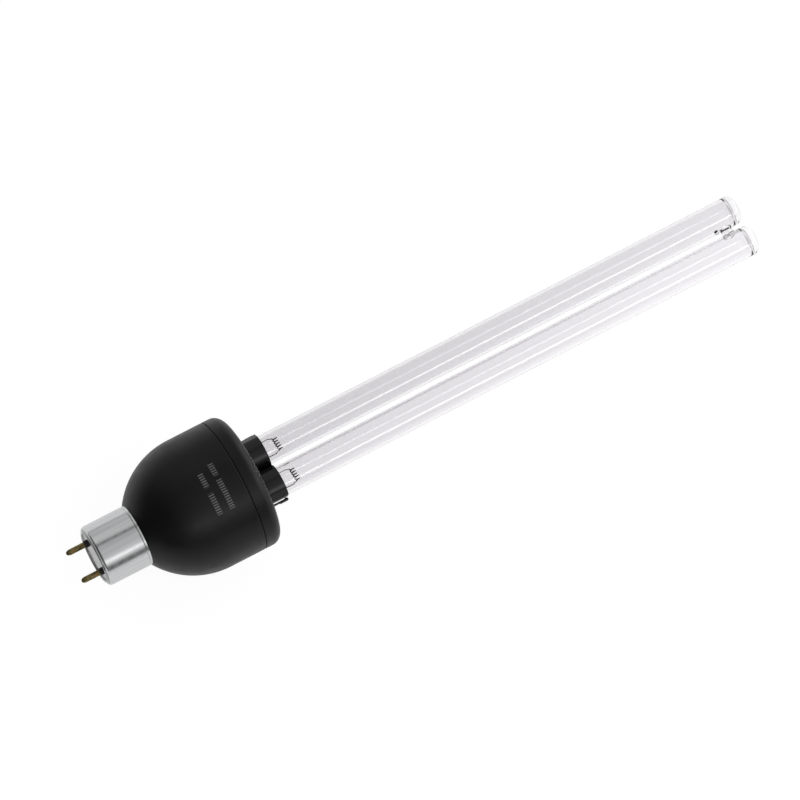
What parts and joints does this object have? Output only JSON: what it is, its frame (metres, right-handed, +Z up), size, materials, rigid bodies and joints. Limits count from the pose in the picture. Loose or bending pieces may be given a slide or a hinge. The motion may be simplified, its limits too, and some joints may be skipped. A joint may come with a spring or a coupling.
{
  "type": "compact uv lamp",
  "caption": "Compact germicidal UV lamp with a clear quartz twin tube, a black bell-shaped ballast housing and an aluminium bi-pin cap.",
  "frame": {"origin": "on the floor, under the middle of the lamp's length and width", "axes": "+X along the length towards the tips of the tube, +Y across both legs of the tube, +Z up; the lamp lies at rest on the edge of its front cover and on both tips, so its own axis slopes down by about 5.5 degrees towards the tips"},
  "size_m": [0.3026, 0.0556, 0.0573],
  "materials": {
    "cap_aluminium": "satin, drawn lengthways",
    "insulator_black": "matte",
    "pin_brass": "tarnished",
    "housing_black": "satin",
    "collar_black": "gloss",
    "quartz_clear": "clear",
    "tungsten": "dull",
    "lead_nickel": "satin",
    "molybdenum": "bright",
    "cement_white": "matte",
    "wire_white": "satin",
    "board_green": "satin",
    "capacitor_sleeve": "gloss",
    "ferrite": "matte",
    "bobbin_cream": "matte",
    "winding_copper": "enamelled",
    "epoxy_black": "matte",
    "film_red": "gloss",
    "resistor_grey": "matte"
  },
  "bodies": {
    "root": {"cap_shell": "cap_aluminium", "cap_insulator": "insulator_black", "contact_pin_1": "pin_brass", "contact_pin_2": "pin_brass", "housing_dome": "housing_black", "front_cover": "housing_black", "lamp_collar": "collar_black", "quartz_tube": "quartz_clear", "electrode_coil_1": "tungsten", "electrode_coil_2": "tungsten", "electrode_lead_1": "lead_nickel", "electrode_lead_2": "lead_nickel", "electrode_lead_3": "lead_nickel", "electrode_lead_4": "lead_nickel", "seal_foil_1": "molybdenum", "seal_foil_2": "molybdenum", "seal_foil_3": "molybdenum", "seal_foil_4": "molybdenum", "base_cement_1": "cement_white", "base_cement_2": "cement_white", "lamp_wire_1": "lead_nickel", "lamp_wire_2": "lead_nickel", "lamp_wire_3": "lead_nickel", "lamp_wire_4": "lead_nickel", "supply_wire_1": "wire_white", "supply_wire_2": "wire_white", "ballast_board": "board_green", "bulk_capacitor": "capacitor_sleeve", "choke_core": "ferrite", "choke_bobbin": "bobbin_cream", "choke_winding": "winding_copper", "toroid_core": "ferrite", "toroid_winding_1": "winding_copper", "toroid_winding_2": "winding_copper", "toroid_winding_3": "winding_copper", "transistor_1": "epoxy_black", "transistor_2": "epoxy_black", "film_capacitor_1": "film_red", "film_capacitor_2": "film_red", "rectifier_diode_1": "epoxy_black", "rectifier_diode_2": "epoxy_black", "rectifier_diode_3": "epoxy_black", "rectifier_diode_4": "epoxy_black", "fuse_resistor": "resistor_grey"}
  },
  "joints": []
}
